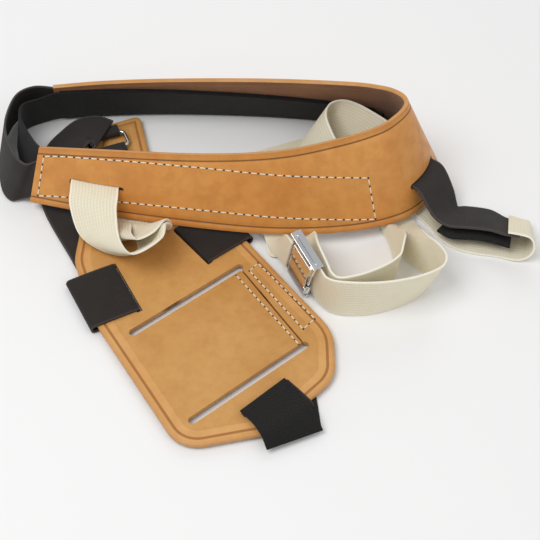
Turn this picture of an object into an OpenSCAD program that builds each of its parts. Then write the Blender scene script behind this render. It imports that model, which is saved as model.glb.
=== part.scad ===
// Leather shoulder harness: a curved yoke on its edge, elastic straps and a slotted carrier plate.
// Millimetres, +Z up, origin on the floor under the middle of the laid-out harness.

/* [Leather] */
// Thickness of the yoke leather
yoke_t = 3.6; // [3:0.1:4.4]
// Thickness of the carrier plate
plate_t = 3.6; // [3:0.1:4.4]
// Length of the slot in the yoke's front arm
front_slot_l = 46; // [42:0.5:50]
// Height of the slots in the yoke
yoke_slot_h = 5; // [4:0.1:6]

/* [Webbing] */
// Width of the cream elastic webbing
web_w = 40; // [33:0.5:42]
// Thickness of the cream elastic webbing
web_t = 1.6; // [1.2:0.05:2]
// Width of the grey elastic straps
grey_w = 38; // [32:0.5:40]
// Thickness of the grey elastic straps
grey_t = 1.8; // [1.4:0.05:2.2]
// Width of the hook-and-loop linings
lining_w = 40; // [34:0.5:42]
// Thickness of the hook-and-loop linings
lining_t = 1.2; // [0.8:0.1:1.6]

/* [Carrier plate] */
// Width of the two cross slots beside the belt tongue
tongue_slot_w = 6.2; // [5:0.1:7]
// Width of the cut along the tongue's free edge
tongue_cut_w = 1.2; // [0.8:0.1:2]
// Width of the keeper strap at the left edge
keeper_left_w = 52; // [44:0.5:54]
// Width of the keeper strap at the upper right
keeper_upper_w = 46; // [40:0.5:48]
// Width of the keeper strap at the lower right
keeper_lower_w = 43; // [36:0.5:45]
// Thickness of the keeper straps
keeper_t = 1.6; // [1.2:0.1:1.8]
// Width of the slots that the keeper straps pass through
keeper_slot_w = 4.5; // [4:0.1:6]

/* [Chrome adjuster] */
// Length of the adjuster along the webbing
adj_l = 35; // [32:0.5:38]
// Thickness of the adjuster's pressed sheet
adj_sheet = 1.2; // [1:0.1:1.6]
// Diameter of the adjuster's hinge pin
adj_pin_d = 2.4; // [2:0.1:2.6]
// Room between the webbing and the sheet, and beside the webbing
adj_gap = 1; // [0.6:0.1:1.5]

/* [Chrome ring] */
// Diameter of the ring's wire
ring_wire = 3; // [2.5:0.1:3.6]
// Length of the ring inside, across the strap
ring_in_l = 30; // [26:0.5:34]
// Length of the ring inside, along the strap
ring_in_w = 13; // [11:0.5:16]

/* [Fits] */
// Running clearance round pins and bars
run_gap = 0.3; // [0.2:0.05:0.5]
// Gap between layers that lie on each other
layer_gap = 0.3; // [0.2:0.05:0.4]

/* [Hidden] */

$fn = 32;
tan_grain = "#d29a5c";
tan_plate = "#d8aa74";
dark_grey = "#4b4745";
near_black = "#2b2928";
cream = "#e9e2cf";
chrome = "#c9ccd0";

// ---- vectors, curves and ribbons ----

function unit(v) = v / norm(v);
function part3(v, i) = [v[i], v[i + 1], v[i + 2]];
function curve_point(a, b, c, d, t) =
    0.5 * (2 * b + (c - a) * t + (2 * a - 5 * b + 4 * c - d) * t * t + (3 * b - a - 3 * c + d) * t * t * t);
// A smooth line through every station, with the given number of steps between two stations
function smooth(st, steps) = [
    for (i = [0 : len(st) - 2]) for (j = [0 : steps - 1])
        curve_point(st[max(i - 1, 0)], st[i], st[i + 1], st[min(i + 2, len(st) - 1)], j / steps),
    st[len(st) - 1]
];
// A strap's station is one edge point and the direction across; this gives both edge points
function edges(st, w) = [for (s = st) concat(part3(s, 0), part3(s, 0) + unit(part3(s, 3)) * w)];
function middle(r) = (part3(r, 0) + part3(r, 3)) / 2;
function across(r) = unit(part3(r, 3) - part3(r, 0));
function face_normal(rails, i) =
    let (a = rails[max(i - 1, 0)], b = rails[min(i + 1, len(rails) - 1)])
    unit(cross(middle(b) - middle(a), across(rails[i])));
// The edges of a layer that lies beside a ribbon: low and high are distances across it from its first edge
function beside(rails, from, to, low, high, off) = [
    for (i = [from : to])
        let (n = face_normal(rails, i), u = across(rails[i]), a = part3(rails[i], 0))
        concat(a + u * low[min(i - from, len(low) - 1)] + n * off,
            a + u * high[min(i - from, len(high) - 1)] + n * off)
];

// A closed solid of even thickness along a pair of edges
module ribbon(rails, t) {
    n = len(rails);
    points = [
        for (i = [0 : n - 1])
            let (k = face_normal(rails, i) * t / 2, a = part3(rails[i], 0), b = part3(rails[i], 3))
            each [a - k, a + k, b + k, b - k]
    ];
    sides = [
        for (i = [0 : n - 2]) for (j = [0 : 3])
            let (p = 4 * i + j, q = 4 * i + (j + 1) % 4)
            each j == 3 ? [[p, q, p + 4], [q, q + 4, p + 4]] : [[p, q, q + 4], [p, q + 4, p + 4]]
    ];
    last = 4 * (n - 1);
    polyhedron(points, concat([[3, 2, 1, 0], [last, last + 1, last + 2, last + 3]], sides), convexity = 10);
}

// A closed outline whose corners [x, y, radius] are rounded by arcs
function corner_arc(p, q, s, r) =
    let (u = unit(p - q), v = unit(s - q), half = acos(u * v) / 2,
        c = q + unit(u + v) * r / sin(half), a = q + u * r / tan(half) - c, b = q + v * r / tan(half) - c,
        a0 = atan2(a.y, a.x), turn = (atan2(b.y, b.x) - a0 + 540) % 360 - 180, n = 7)
    [for (i = [0 : n]) c + r * [cos(a0 + turn * i / n), sin(a0 + turn * i / n)]];
function rounded(corners) = [
    for (i = [0 : len(corners) - 1])
        let (n = len(corners), p = corners[(i + n - 1) % n], q = corners[i], s = corners[(i + 1) % n])
        each corner_arc([p.x, p.y], [q.x, q.y], [s.x, s.y], q[2])
];

// ---- levels ----

// Puts the origin under the middle of the whole harness
to_middle = [10.7, -9.8, 0];

// Everything stands or lies on the floor; the plate lies on its own keeper straps
plate_z = max(grey_t, keeper_t) + layer_gap;
plate_top = plate_z + plate_t;

// ---- yoke ----

yoke_steps = 6;
// Bottom edge and top edge of the yoke, from the front arm's end round the bend to the back arm's end
yoke_stations = [
    [-197, 67.7, 8.5, -185, 84, 54], [-139, 51.7, plate_top + 4.8, -133, 71, 63], [-57, 35.7, plate_top + 5.8, -55, 60, 69],
    [8, 28.7, plate_top + 5.8, 5, 56, 76], [64, 32.7, plate_top + 4.8, 52, 65, 80], [103, 45.7, 8.5, 84, 76, 83],
    [126, 66, 5.5, 99, 86, 86], [140, 92, 3.2, 107, 96, 88], [142, 122, 1.4, 107, 106, 87],
    [130, 149, 0.95, 101, 118, 83], [106, 166, 0.95, 90, 129, 78], [66, 177, 0.95, 66, 143, 70],
    [0, 185, 0.95, 0, 159, 60], [-80, 188, 0.95, -80, 170, 51], [-140, 186, 0.95, -140, 172, 47],
    [-187, 181, 0.95, -186, 170, 44]
];
yoke_rails = smooth(yoke_stations, yoke_steps);
lining_off = yoke_t / 2 + layer_gap + lining_t / 2;
// Where the sewn rectangle starts and ends on the front arm, in steps along the yoke
sewn_from = 1;
sewn_to = 27;
// Distance from the yoke's lower edge to the front lining, easing from end to end
lining_low = [for (i = [0 : sewn_to - sewn_from])
    let (u = i / (sewn_to - sewn_from)) 5 + 40 * u * (1 - u) * (1 - 0.25 * u)];
front_slot_at = [-139, 61, 34];
front_slot_turn = -13;
back_slot_at = [125, 81, 27.5];
back_slot_turn = 61;
back_slot_l = 42;

module yoke_slot(at, turn, l) {
    translate(at) rotate([0, 0, turn]) cube([l, 24, yoke_slot_h], center = true);
}

module yoke_leather() {
    color(tan_grain) translate(to_middle) difference() {
        ribbon(yoke_rails, yoke_t);
        yoke_slot(front_slot_at, front_slot_turn, front_slot_l);
        yoke_slot(back_slot_at, back_slot_turn, back_slot_l);
    }
}

module front_arm_lining() {
    high = [for (low = lining_low) low + lining_w];
    color(near_black) translate(to_middle) difference() {
        ribbon(beside(yoke_rails, sewn_from, sewn_to, lining_low, high, -lining_off), lining_t);
        yoke_slot(front_slot_at, front_slot_turn, front_slot_l);
    }
}

back_lining_from = 62;
back_lining_to = 89;

module back_arm_lining() {
    color(near_black) translate(to_middle)
        ribbon(beside(yoke_rails, back_lining_from, back_lining_to, [1], [1 + lining_w], -lining_off), lining_t);
}

// ---- closing strap: two layers that join the arms' ends ----

closing_outer_off = yoke_t / 2 + layer_gap + grey_t / 2;
closing_inner_off = lining_off + lining_t / 2 + layer_gap + grey_t / 2;
// How far the inner layer runs along the back arm, in steps along the yoke
closing_inner_end = 60;
// Lower edge and direction across: the outer layer from the back arm round to the front arm, the inner
// layer the other way
closing_outer_bend = edges([
    [-205, 188, 0.5, 1, -10, 38], [-223, 177, 0.5, 6, -8, 38], [-231, 152, 0.5, 9, -4, 38],
    [-232, 122, 0.5, 11, 2, 38], [-225, 90, 0.7, 15, 8, 36], [-216, 76, 0.8, 17, 11, 36],
    [-206, 75.5, 3, 16, 12, 36]
], grey_w);
closing_inner_bend = edges([
    [-201, 92, 5, 12, 8, 38], [-209, 110, 1.6, 11, 4, 38], [-216, 130, 0.9, 9, 0, 38],
    [-219, 148, 0.9, 7, -4, 38], [-214, 164, 0.9, 4, -9, 38], [-200, 173, 0.9, 1, -12, 38]
], grey_w);
// The last steps of the arms that the strap's ends lie on
closing_ends = [1, 3];
last_step = len(yoke_rails) - 1;

module closing_strap_outer() {
    back = beside(yoke_rails, last_step - 5, last_step, [1], [1 + grey_w], closing_outer_off);
    front = beside(yoke_rails, closing_ends[0], closing_ends[1], [4], [4 + grey_w], -closing_inner_off);
    color(dark_grey) translate(to_middle) ribbon(concat(
        [for (i = [0 : 4]) back[i]],
        smooth(concat([back[5]], closing_outer_bend, [front[0]]), 4),
        [for (i = [1 : len(front) - 1]) front[i]]), grey_t);
}

module closing_strap_inner() {
    front = beside(yoke_rails, closing_ends[0], closing_ends[1], [4], [4 + grey_w],
        -closing_inner_off - grey_t - layer_gap);
    back = beside(yoke_rails, closing_inner_end, last_step, [2.6], [2.6 + grey_w], -closing_inner_off);
    color(near_black) translate(to_middle) ribbon(concat(
        [for (i = [len(front) - 1 : -1 : 1]) front[i]],
        smooth(concat([front[0]], closing_inner_bend, [back[len(back) - 1]]), 4),
        [for (i = [len(back) - 2 : -1 : 0]) back[i]]), grey_t);
}

// ---- back strap at the bend of the yoke ----

back_strap_line = edges([
    [111.5, 66.8, 27.5, 18, 33, 0], [115.9, 64.4, 27.5, 18, 33, 0], [121, 58, 27, 20, 29, 0],
    [126, 47, 23, 22, 26, -6], [132, 37, 20, 20, 28, -11], [142, 30, 18.5, 12, 32, -12],
    [158, 28, 18.5, 4, 34, -12], [174, 25, 19, 6, 33, -12.5], [185, 18, 21.5, 7, 32, -15.5],
    [196, 14, 23.5, 6, 32, -17]
], grey_w);
back_return_line = edges([
    [134, 33, 10, 20, 28, -6], [144, 24.5, 10.8, 12, 32, -7], [160, 23, 10.8, 4, 34, -7],
    [175, 20, 10.8, 6, 33, -7], [190, 14, 10.8, 8, 32, -7]
], grey_w);

module back_strap() {
    color(dark_grey) translate(to_middle) ribbon(smooth(back_strap_line, 5), grey_t);
}

module back_strap_return() {
    color(near_black) translate(to_middle) ribbon(smooth(back_return_line, 5), grey_t);
}

// The cream webbing under the back strap turns up and folds over the strap's end, where it is sewn
end_tab_line = edges([
    [117, 62, 0.9, 27, 29, 0], [124, 53, 0.9, 27, 29, 0], [131, 43, 0.9, 24, 32, 0], [138, 31, 0.9, 18, 35, 0],
    [148, 22, 0.9, 12, 37, 0], [162, 16.5, 0.9, 6, 39, 0], [180, 13, 0.9, 7, 38, 0],
    [195, 8.5, 1.5, 7, 36, 0], [203, 8, 4.5, 5, 35, -3], [207.5, 8.5, 11, 3, 34, -7], [207.5, 9.5, 19, 3, 33, -12],
    [204, 11, 25, 5, 32, -16], [197, 13, 26.6, 6, 32, -17], [187, 17, 25, 7, 32, -15.8]
], web_w);

module webbing_end_tab() {
    color(cream) translate(to_middle) ribbon(smooth(end_tab_line, 5), web_t);
}

// ---- cream webbing ----

slot_loop_line = edges([
    [-158, 82, 34.5, 38, -9, 0], [-160, 70, 34.8, 38, -9, 0], [-160, 56, 33.6, 38, -9, 0.4],
    [-160, 45, 26, 35, -9, 4], [-152, 27, 12.4, 33, -15, 13], [-135, 14, 8.8, 27, -22, 21],
    [-117, 8, 8.6, 19, -21, 28], [-105, 13, 8.6, 21, -13, 29], [-107, 24, 8.4, 25, -8, 27.6],
    [-115, 34, 7.8, 35, -5, 12], [-122, 43, plate_top + 1.5, 39, -6, 0.7], [-125, 54, plate_top + 1.2, 38, -6, 0],
    [-116, 84, plate_top + 1.2, 34, -18, 0], [-96, 106, plate_top + 1.2, 28, -26, 0], [-74, 120, plate_top + 1.3, 22, -32, 0],
    [-44, 128, 3.2, 14, -36, 0], [-18, 133, 1.1, 14, -36, 0], [4, 142, 0.9, 14, -36, 0],
    [28, 151, 0.9, 6, -38, 0], [56, 152, 0.9, -2, -38, 0]
], web_w);
slot_return_line = edges([
    [-156, 82, 30, 38, -9, 0], [-154, 74, 20, 38, -9, 0], [-153, 64, 10.4, 38, -9, 0.8], [-152, 54, 8.6, 37, -9, 0.6],
    [-149, 43, 9, 35, -9, 6], [-142, 32, 10.6, 31, -15, 14], [-128, 24, 11, 25, -20, 21],
    [-116, 22, 11.2, 24, -14, 24], [-114, 29, 11, 29, -6, 21], [-117, 37, 11, 37, -5, 10],
    [-119, 44, plate_top + 3.7, 38, -6, 0.4], [-120, 56, plate_top + 3.5, 38, -7, 0], [-106, 76, plate_top + 3.8, 28, -27, 0],
    [-84, 86, plate_top + 3.7, 12, -37, 0], [-56, 89, plate_top + 3.7, 4, -39, 0], [-30, 90, 9, 0, -39, 0], [-6, 89, 5.6, 0, -39, 0],
    [12, 88, 4.9, 0, -39, 0]
], web_w);
// Both edges are given where the webbing bunches up and twists
lower_loop_line = concat(edges([
    [27, -15.8, 5.6, 0.12, -0.21, 0.97], [32.4, -25, 3, 0.12, -0.21, 0.97], [35.6, -31, 1.6, 0.1, -0.17, 0.97],
    [41, -38.5, 0.8, 0.04, -0.1, 0.97], [51, -45, 0.4, 0, -0.02, 1],
    [70, -46, 0.2, 1, -1, 39],
    [88, -42, 0.2, 4, -3, 39], [106, -34, 0.4, 7, -5, 38]
], web_w), [
    [119, -23, 0.4, 129.4, -29.3, 38], [124.5, -13, 0.4, 134, -20, 38], [121, -5, 0.5, 132.5, -10, 36.5],
    [112, 6, 0.6, 128, -1, 35], [105.4, 15, 0.8, 123.5, 7.5, 32], [101, 26, 1, 121.5, 22, 22],
    [99, 37, 1, 120, 35, 11], [97.5, 46, 1, 119.5, 46, 4], [94, 58, 1, 116, 57, 1]
]);
second_loop_line = [
    [-4, 56, 2.9, 30, 77, 2.9], [-4, 34, 2.4, 33, 46, 4], [0, 14, 1.4, 33, 30, 8], [12, 11.5, 1, 35.5, 14.5, 29],
    [28.4, -8.2, 0.4, 36.6, -6, 39], [37, -25, 0.3, 42.5, -25.5, 39.5], [43.5, -35.5, 0.2, 46.4, -37.5, 39.8],
    [52, -41, 0.2, 53, -42, 40], [66, -38, 0.2, 67, -39, 40], [80, -30, 0.2, 82.5, -32, 40],
    [91, -20, 0.2, 93.5, -24, 39.5], [98, -8, 0.4, 99.3, -17, 39], [98.5, 6, 0.6, 101.8, -8, 37.5],
    [97.6, 18.8, 0.9, 103.8, 1, 35.5], [95, 30, 1.2, 105.5, 9, 32], [90, 46, 1.4, 106.5, 22, 22],
    [85, 55, 2.4, 106.5, 32, 12], [78, 66, 3, 105, 41, 5.4], [70, 76, 3, 97, 52, 3.4]
];
upper_loop_line = edges([
    [117, 70, 3.4, 8, 36, 4], [106, 84, 8, 13, 28, 22], [92, 98, 12, 18, 18, 30],
    [78, 114, 13, 20, 10, 33], [66, 127, 13, 21, 8, 33], [53, 138, 13, 21, 8, 33],
    [41, 143, 13, 21, 8, 33], [30, 138, 13, 21, 8, 33], [26, 125, 13, 21, 7, 33],
    [30, 107, 13, 21, 4, 34], [36, 92, 10, 22, 0, 34], [34, 78, 7, 28, -6, 26], [20, 60, 5, 38, 2, 1]
], web_w);

module webbing_slot_loop() {
    color(cream) translate(to_middle) ribbon(smooth(slot_loop_line, 4), web_t);
}

module webbing_slot_return() {
    color(cream) translate(to_middle) ribbon(smooth(slot_return_line, 4), web_t);
}

module webbing_lower_loop() {
    color(cream) translate(to_middle) ribbon(smooth(lower_loop_line, 5), web_t);
}

module webbing_second_loop() {
    color(cream) translate(to_middle) ribbon(smooth(second_loop_line, 5), web_t);
}

module webbing_upper_loop() {
    color(cream) translate(to_middle) ribbon(smooth(upper_loop_line, 5), web_t);
}

// ---- carrier plate with its belt tongue ----

plate_corners = [
    [-115, 176, 5], [-150, 161, 5], [-150, 110, 40], [-155, 5, 40], [-134, -55, 100], [-63, -170, 25],
    [2, -156, 30], [48, -108, 30], [48, -66, 40], [-22, 31, 60], [-100, 112, 60]
];
// The tongue's corners: two at the hinge, two at its free edge
tongue_near = [-55, -146];
tongue_far = [-103, -67];
tongue_free_far = [-24, -2];
tongue_free_near = [26, -79];
sew_t = 1.2;

module slot_along(a, b, w) {
    d = b - a;
    translate(a) rotate(atan2(d.y, d.x)) translate([0, -w / 2]) square([norm(d), w]);
    for (p = [a, b]) translate(p) circle(w / 2);
}

module tongue_gaps() {
    slot_along(tongue_far, tongue_free_far, tongue_slot_w);
    slot_along(tongue_near, tongue_free_near, tongue_slot_w);
    slot_along(tongue_free_far, tongue_free_near, tongue_cut_w);
}

module tongue_outline() {
    difference() {
        polygon([tongue_near, tongue_free_near, tongue_free_far, tongue_far]);
        tongue_gaps();
    }
}

// A keeper strap: where its slot starts, the way out to the plate's edge, its width and its reach
keeper_left_at = [-124, 1, 207.5, keeper_left_w, 40];
keeper_upper_at = [-47, 2, 39, keeper_upper_w, 44];
keeper_lower_at = [-19, -142, -47.9, keeper_lower_w, 27];
// How much longer a slot is than its strap is wide
slot_room = 2;
keeper_top = plate_top + layer_gap + keeper_t;

module keeper_slot(k) {
    translate([k[0], k[1]]) rotate(k[2])
        translate([-keeper_slot_w / 2, 0]) square([keeper_slot_w, k[3] + slot_room]);
}

// Stands a profile of (distance out from the slot, height) up across the keeper's width
module keeper_place(k) {
    translate([k[0], k[1], 0]) rotate([0, 0, k[2]]) translate([0, k[3] + slot_room / 2, 0]) rotate([90, 0, 0])
        linear_extrude(k[3]) children();
}

module keeper_band(k) {
    keeper_place(k) difference() {
        polygon(rounded([[-keeper_t / 2, 0, 1], [k[4], 0, 3.5], [k[4], keeper_top, 3.5], [-keeper_t / 2, keeper_top, 1]]));
        polygon(rounded([
            [keeper_t / 2, keeper_t, 0.3], [k[4] - keeper_t, keeper_t, 1.9],
            [k[4] - keeper_t, keeper_top - keeper_t, 1.9], [keeper_t / 2, keeper_top - keeper_t, 0.3]
        ]));
    }
}

module carrier_plate() {
    color(tan_plate) translate(to_middle) translate([0, 0, plate_z]) linear_extrude(plate_t) difference() {
        polygon(rounded(plate_corners));
        polygon([tongue_near, tongue_free_near, tongue_free_far, tongue_far]);
        tongue_gaps();
        for (k = [keeper_left_at, keeper_upper_at, keeper_lower_at]) keeper_slot(k);
    }
}

module belt_tongue() {
    color(tan_plate) translate(to_middle) translate([0, 0, plate_z]) linear_extrude(plate_t) tongue_outline();
}

// Sewn under the tongue's free edge, to grip the strip under the plate's margin
module tongue_hook_strip() {
    color(near_black) translate(to_middle) translate([0, 0, plate_z - sew_t]) linear_extrude(sew_t)
        polygon([[-43, -21], [-29.5, -10], [18, -78], [3, -88]]);
}

module margin_loop_strip() {
    color(near_black) translate(to_middle) translate([0, 0, plate_z - sew_t]) linear_extrude(sew_t)
        polygon([[-16, -6], [-9.5, 2], [34, -54], [25, -64]]);
}

module keeper_left() {
    color(dark_grey) translate(to_middle) keeper_band(keeper_left_at);
}

module keeper_upper() {
    color(dark_grey) translate(to_middle) keeper_band(keeper_upper_at);
}

// The lower keeper's underside runs on past the plate's edge
keeper_lower_run = [[-5, -128], [33, -117], [36.5, -149], [-1, -160]];

module keeper_lower() {
    color(dark_grey) translate(to_middle) {
        keeper_band(keeper_lower_at);
        linear_extrude(keeper_t) polygon(keeper_lower_run);
    }
}

// The keeper's loose end lies on the band and droops over the plate's edge; hook and loop hold it
tab_z = keeper_top + layer_gap + keeper_t / 2;
keeper_tab_line = edges([
    [-21.5, -140.2, tab_z, 31, 28, 0], [-12.2, -150.5, tab_z, 31.5, 25.5, 0],
    [-6.5, -160.5, tab_z + 0.4, 34, 22, 0], [-4.4, -165, tab_z - 1.2, 36, 18.5, -0.6],
    [-2.2, -169.7, tab_z - 4.8, 37.5, 15.5, 0]
], keeper_lower_w);

module keeper_lower_tab() {
    color(near_black) translate(to_middle) ribbon(smooth(keeper_tab_line, 4), keeper_t);
}

// ---- chrome ring on the plate's neck, and the hanger strap ----

anchor_t = 1.2;
ring_turn = 22;
ring_r = ring_wire / 2;
// The near bar's middle; the far bar rests a little higher
ring_at = [-136.5, 130, plate_top + layer_gap + anchor_t + run_gap + ring_r];
ring_rise = 5;
ring_c_l = ring_in_l + ring_wire;
ring_c_w = ring_in_w + ring_wire;
ring_corner = 4;

module ring_place() {
    translate(ring_at) rotate([0, 0, ring_turn]) rotate([ring_rise, 0, 0]) children();
}

module hanger_ring() {
    x = ring_c_l / 2 - ring_corner;
    color(chrome) translate(to_middle) ring_place() union() {
        for (y = [0, ring_c_w]) translate([-x, y, 0]) rotate([0, 90, 0]) cylinder(r = ring_r, h = 2 * x);
        for (sx = [-1, 1]) translate([sx * ring_c_l / 2, ring_corner, 0]) rotate([-90, 0, 0])
            cylinder(r = ring_r, h = ring_c_w - 2 * ring_corner);
        for (q = [[x, ring_c_w - ring_corner, 0], [-x, ring_c_w - ring_corner, 90], [-x, ring_corner, 180],
                [x, ring_corner, 270]])
            translate([q.x, q.y, 0]) rotate([0, 0, q[2]])
                rotate_extrude(angle = 90) translate([ring_corner, 0]) circle(ring_r);
    }
}

// A strap laid round a bar: two runs towards -Y joined round the bar
module bar_wrap(bar_r, t, w, run, upper_run) {
    inner = bar_r + run_gap;
    rotate([90, 0, 90]) translate([0, 0, -w / 2]) linear_extrude(w) union() {
        difference() {
            circle(inner + t);
            circle(inner);
            translate([-2 * inner - 2 * t, -2 * inner]) square([2 * inner + 2 * t, 4 * inner]);
        }
        translate([-run, -inner - t]) square([run, t]);
        translate([-upper_run, inner]) square([upper_run, t]);
    }
}

module ring_anchor() {
    color(dark_grey) translate(to_middle) translate(ring_at) rotate([0, 0, ring_turn])
        bar_wrap(ring_r, anchor_t, ring_in_l - 4, 16, 9);
}

module hanger_loop() {
    color(dark_grey) translate(to_middle) ring_place() translate([3, ring_c_w, 0]) rotate([0, 0, 180])
        bar_wrap(ring_r, anchor_t, ring_in_l - 10, 7, 7);
}

hanger_line = edges([
    [-150, -6, 1.12, 34, 17, 0], [-160, 13, 1.12, 36, 16, 0], [-187, 64, 1.15, 38, 12, 0],
    [-197, 104, 2, 40, 0, 1.6], [-193, 134, 5, 38, -9, 10], [-182, 150, 9, 33, -20, 8],
    [-168, 161, ring_at.z + 4.6, 18, -33, 3], [-151, 164, ring_at.z + 6.4, 2, -38, 1],
    [-136, 158, ring_at.z + 6.4, -13, -34, 0]
], grey_w);

module hanger_strap() {
    color(dark_grey) translate(to_middle) ribbon(smooth(hanger_line, 5), grey_t);
}

// ---- chrome adjuster: it stands on its side with the webbing ----

adj_inner = web_w + 2 * adj_gap;
adj_w = adj_inner + 2 * adj_sheet;
// It stands on one corner beside the plate, tipped along the webbing
adj_at = [21, -13, 4.8];
adj_turn = -60;
adj_tip = 14;
adj_back = 5;
adj_ear_front = -2.6;
adj_bar_x = -13.4;
adj_pin_x = 14;
adj_pin_y = 0;
lever_front = -4.4;
lever_end = -8.6;

// Along the webbing is X, through it is Y and across it is Z
module adjuster_place() {
    translate(adj_at) rotate([0, 0, adj_turn]) rotate([0, adj_tip, 0]) children();
}

module adjuster_frame() {
    rail = 4;
    color(chrome) translate(to_middle) adjuster_place() difference() {
        union() {
            translate([-adj_l / 2, adj_back, 0]) cube([adj_l, adj_sheet, adj_w]);
            for (z = [0, adj_w - adj_sheet]) translate([-adj_l / 2, adj_ear_front, z])
                cube([adj_l, adj_back - adj_ear_front + adj_sheet, adj_sheet]);
        }
        translate([-adj_l / 2 + rail, adj_back - 1, rail])
            cube([adj_l - 2 * rail, adj_sheet + 2, adj_w - 2 * rail]);
        for (x = [adj_bar_x, adj_pin_x]) translate([x, adj_pin_y, -1])
            cylinder(d = adj_pin_d, h = adj_w + 2);
    }
}

module adjuster_pin() {
    color(chrome) translate(to_middle) adjuster_place() translate([adj_pin_x, adj_pin_y, 0]) cylinder(d = adj_pin_d, h = adj_w);
}

module adjuster_bar() {
    color(chrome) translate(to_middle) adjuster_place() translate([adj_bar_x, adj_pin_y, 0]) cylinder(d = adj_pin_d, h = adj_w);
}

// The clamp plate: a flat face, and two curls round the pin
module adjuster_lever() {
    low = adj_sheet + 0.6;
    high = adj_w - adj_sheet - 0.6;
    curl_r = adj_pin_d / 2 + run_gap;
    curl_l = 11;
    color(chrome) translate(to_middle) adjuster_place() union() {
        translate([lever_end, lever_front, low]) cube([adj_pin_x - lever_end, adj_sheet, high - low]);
        for (z = [low, high - curl_l]) translate([adj_pin_x, adj_pin_y, z]) difference() {
            union() {
                cylinder(r = curl_r + adj_sheet, h = curl_l);
                translate([-curl_r, lever_front - adj_pin_y, 0])
                    cube([2 * curl_r, adj_pin_y - lever_front, curl_l]);
            }
            translate([0, 0, -1]) cylinder(r = curl_r, h = curl_l + 2);
        }
    }
}

function adjuster_point(p) =
    let (q = [p.x * cos(adj_tip) + p.z * sin(adj_tip), p.y, p.z * cos(adj_tip) - p.x * sin(adj_tip)])
    adj_at + [q.x * cos(adj_turn) - q.y * sin(adj_turn), q.x * sin(adj_turn) + q.y * cos(adj_turn), q.z];
// The webbing comes off the bar, drawn in a little, and lies down towards the plate's upper keeper
fold_w = web_w - 2.7;
bar_fold_line = [
    concat(adjuster_point([-11.5, -3.58, adj_w / 2 - fold_w / 2 - 0.8]), adjuster_point([-11.5, -3.58, adj_w / 2 + fold_w / 2 - 0.8])),
    [8, 3, 9.5, 13, 3, 38], [3, 12, 7.6, 11, 14, 24],
    [-2, 22, 6.8, 11, 22, 13], [-5, 31, 6.6, 12.5, 29, 8.2], [-7, 38, 6.2, 15, 38, 6.4],
    [-8, 46, 6, 20, 47, 6]
];

module webbing_bar_fold() {
    color(cream) translate(to_middle) ribbon(smooth(bar_fold_line, 5), web_t);
}

// ---- parts drawn ----

yoke_leather();
front_arm_lining();
back_arm_lining();
closing_strap_outer();
closing_strap_inner();
back_strap();
back_strap_return();
webbing_end_tab();
webbing_slot_loop();
webbing_slot_return();
webbing_lower_loop();
webbing_second_loop();
webbing_upper_loop();
adjuster_frame();
adjuster_lever();
adjuster_pin();
adjuster_bar();
webbing_bar_fold();
carrier_plate();
belt_tongue();
tongue_hook_strip();
margin_loop_strip();
keeper_left();
keeper_upper();
keeper_lower();
keeper_lower_tab();
hanger_ring();
ring_anchor();
hanger_loop();
hanger_strap();
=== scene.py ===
import bpy
import math
from mathutils import Matrix, Vector


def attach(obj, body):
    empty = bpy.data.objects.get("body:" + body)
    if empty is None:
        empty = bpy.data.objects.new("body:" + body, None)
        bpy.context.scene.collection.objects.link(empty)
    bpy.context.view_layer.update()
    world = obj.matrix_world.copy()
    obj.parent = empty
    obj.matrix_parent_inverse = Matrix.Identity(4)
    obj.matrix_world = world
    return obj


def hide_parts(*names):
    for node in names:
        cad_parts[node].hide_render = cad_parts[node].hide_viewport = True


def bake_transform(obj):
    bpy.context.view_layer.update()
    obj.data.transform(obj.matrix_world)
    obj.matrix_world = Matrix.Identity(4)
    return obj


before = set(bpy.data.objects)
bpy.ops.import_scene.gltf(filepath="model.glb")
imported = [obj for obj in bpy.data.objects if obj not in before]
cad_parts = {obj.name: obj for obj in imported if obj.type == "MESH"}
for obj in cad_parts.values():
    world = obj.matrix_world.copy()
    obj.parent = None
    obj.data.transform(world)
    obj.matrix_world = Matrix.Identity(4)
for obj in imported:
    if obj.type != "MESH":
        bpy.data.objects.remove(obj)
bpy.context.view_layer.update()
print("frame loaded:", len(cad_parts), "nodes")

mm = 0.001
toMiddle = Vector((10.7, -9.8, 0))  # puts the origin under the middle of the harness
webW, webT = 40, 1.6
greyW, greyT = 38, 1.8
yokeT, plateT, keeperT = 3.6, 3.6, 1.6
liningW, liningT = 40, 1.2
layerGap, runGap = 0.3, 0.3
plateZ = max(greyT, keeperT) + layerGap
plateTop = plateZ + plateT
keeperTop = plateTop + layerGap + keeperT


# camera, floor and studio light

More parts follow.
